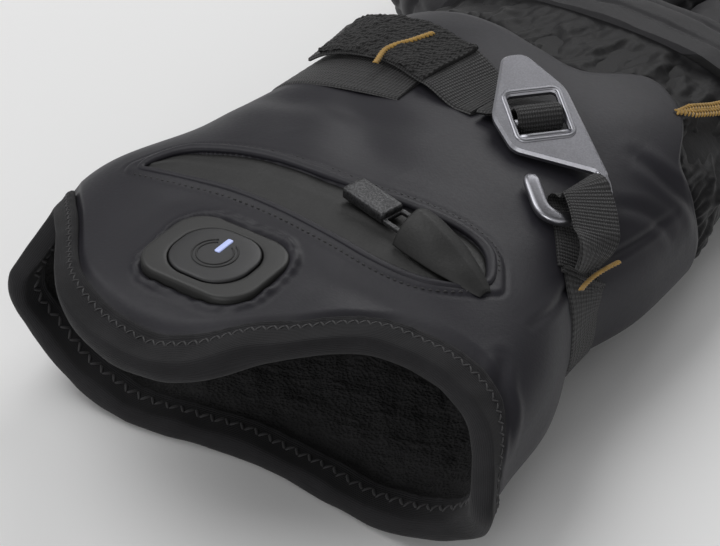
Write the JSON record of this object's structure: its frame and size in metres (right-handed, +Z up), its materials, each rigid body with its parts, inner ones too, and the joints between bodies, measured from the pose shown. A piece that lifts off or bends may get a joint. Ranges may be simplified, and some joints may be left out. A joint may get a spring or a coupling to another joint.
{
  "type": "heated gauntlet glove",
  "caption": "padded right-hand glove with a long softshell cuff, knitted binding, battery pocket zip, square key plate, wrist strap with hook buckle, lying on its palm",
  "frame": {"origin": "centre of the glove's box, on the surface that it lies on", "axes": "+Y from the cuff's mouth to the finger tips, +X to the little finger's side, +Z up from the palm to the back of the hand"},
  "size_m": [0.1882, 0.3424, 0.0724],
  "materials": {
    "softshell": "smooth satin softshell cloth, charcoal",
    "fleece": "short brushed fleece, near black",
    "knitted_binding": "ribbed elastic binding with a zigzag cover stitch",
    "gather_cloth": "thin crumpled nylon with a soft sheen",
    "hand_cloth": "padded softshell cloth, charcoal",
    "palm_leather": "dark grained synthetic leather",
    "plate_rubber": "smooth moulded silicone, dark grey",
    "key_rubber": "satin silicone membrane",
    "mark_plastic": "dark printed ring",
    "lit_plastic": "pale blue lit bar",
    "zip_tape": "laminated speckled tape",
    "dark_metal": "fine-textured gunmetal coating",
    "webbing": "ribbed black nylon webbing with gold bartacks",
    "bright_metal": "satin plated hook buckle with bright edges"
  },
  "bodies": {
    "glove": {"cuff_shell": "softshell", "cuff_lining": "fleece", "cuff_binding": "knitted_binding", "wrist_gather": "gather_cloth", "hand_back": "hand_cloth", "hand_palm": "palm_leather", "finger_index": "hand_cloth", "finger_middle": "hand_cloth", "finger_ring": "hand_cloth", "finger_little": "hand_cloth", "thumb": "hand_cloth", "key_plate": "plate_rubber", "key": "key_rubber", "key_ring": "mark_plastic", "key_light": "lit_plastic", "zip_tape": "zip_tape", "zip_slider": "dark_metal", "zip_garage": "zip_tape", "strap_wrap": "webbing", "strap_band": "webbing", "strap_loop": "webbing", "buckle_hook": "bright_metal"},
    "pull": {"zip_pull": "dark_metal"}
  },
  "joints": [
    {"name": "pull_hinge", "type": "hinge", "parent": "glove", "child": "pull", "pos_m": [0.03646, -0.09648, 0.06423], "axis": [0.225, 0.9744, 0], "range_deg": [0, 38]}
  ]
}
